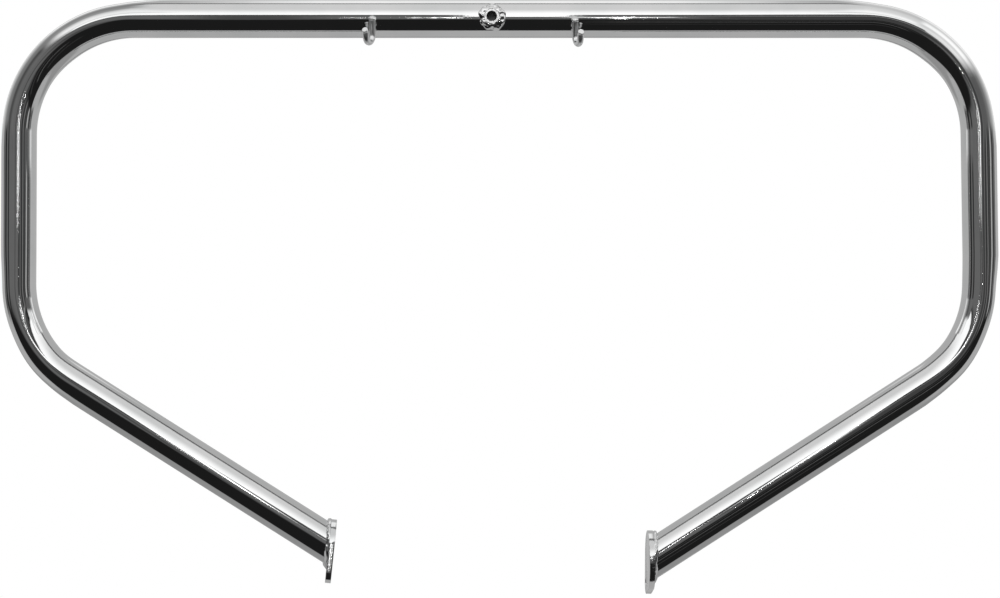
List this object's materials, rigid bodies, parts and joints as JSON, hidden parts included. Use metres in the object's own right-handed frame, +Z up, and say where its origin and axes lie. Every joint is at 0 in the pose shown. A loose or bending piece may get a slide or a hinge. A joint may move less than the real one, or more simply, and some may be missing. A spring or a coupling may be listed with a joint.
{
  "type": "motorcycle engine guard",
  "caption": "Wide open loop of bent round tube that guards a motorcycle's engine, with a cross sleeve for the upper bolt, small rod hooks below it and a flat bolt lug on each end.",
  "frame": {"origin": "where the axis of the centre sleeve crosses the centre line of the tube's top run", "axes": "+X to the right seen from the front, along the top run; +Y to the rear, along the sleeve; +Z up, square to the top run. The guard stands in the XZ plane, as it hangs on the motorcycle"},
  "size_m": [0.8459, 0.0662, 0.5053],
  "materials": {
    "plated_tube": "bright chrome plating over polished steel tube, rod and plate",
    "plated_sleeve": "bright chrome plating outside, dull bore",
    "plated_weld": "chrome plating over the ripples of a hand-laid weld bead"
  },
  "bodies": {
    "root": {"guard_tube": "plated_tube", "centre_sleeve": "plated_sleeve", "sleeve_front_weld": "plated_weld", "sleeve_rear_weld": "plated_weld", "left_hook": "plated_tube", "left_hook_weld": "plated_weld", "right_hook": "plated_tube", "right_hook_weld": "plated_weld", "left_lug": "plated_tube", "left_lug_weld": "plated_weld", "right_lug": "plated_tube", "right_lug_weld": "plated_weld"}
  },
  "joints": []
}
